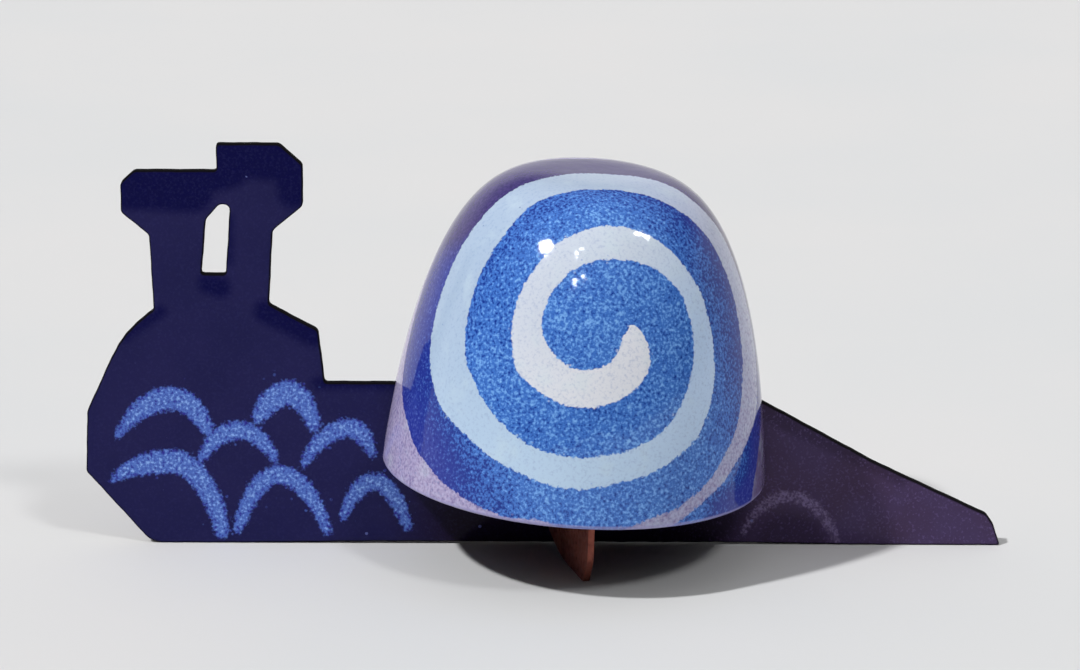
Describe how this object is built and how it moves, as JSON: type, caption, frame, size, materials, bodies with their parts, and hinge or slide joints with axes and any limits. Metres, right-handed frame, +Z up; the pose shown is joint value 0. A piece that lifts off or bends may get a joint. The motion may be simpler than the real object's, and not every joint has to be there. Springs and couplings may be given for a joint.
{
  "type": "figurine",
  "caption": "Enamelled copper snail: a flat sawn body standing on edge, a slotted cup as its lift-off shell with a painted spiral, and a bare copper cross foot.",
  "frame": {"origin": "on the floor, under the middle of the snail's length and of its shell's depth", "axes": "+X from the nose to the tip of the tail, +Y from the front face to the back face, +Z up"},
  "size_m": [0.1385, 0.0582, 0.0624],
  "materials": {
    "body_enamel": "gloss vitreous enamel, dark navy turning to plum at the tail, with sifted blue scallops",
    "shell_enamel": "gloss vitreous enamel, grainy mid blue with a pale blue spiral",
    "bare_copper": "bare copper, darkened and brushed"
  },
  "bodies": {
    "snail_body": {"body_plate": "body_enamel", "cross_foot": "bare_copper"},
    "snail_shell": {"shell": "shell_enamel"}
  },
  "joints": [
    {"name": "shell_lift", "type": "slide", "parent": "snail_body", "child": "snail_shell", "axis": [0, 0, 1], "range_m": [0, 0.055]}
  ]
}
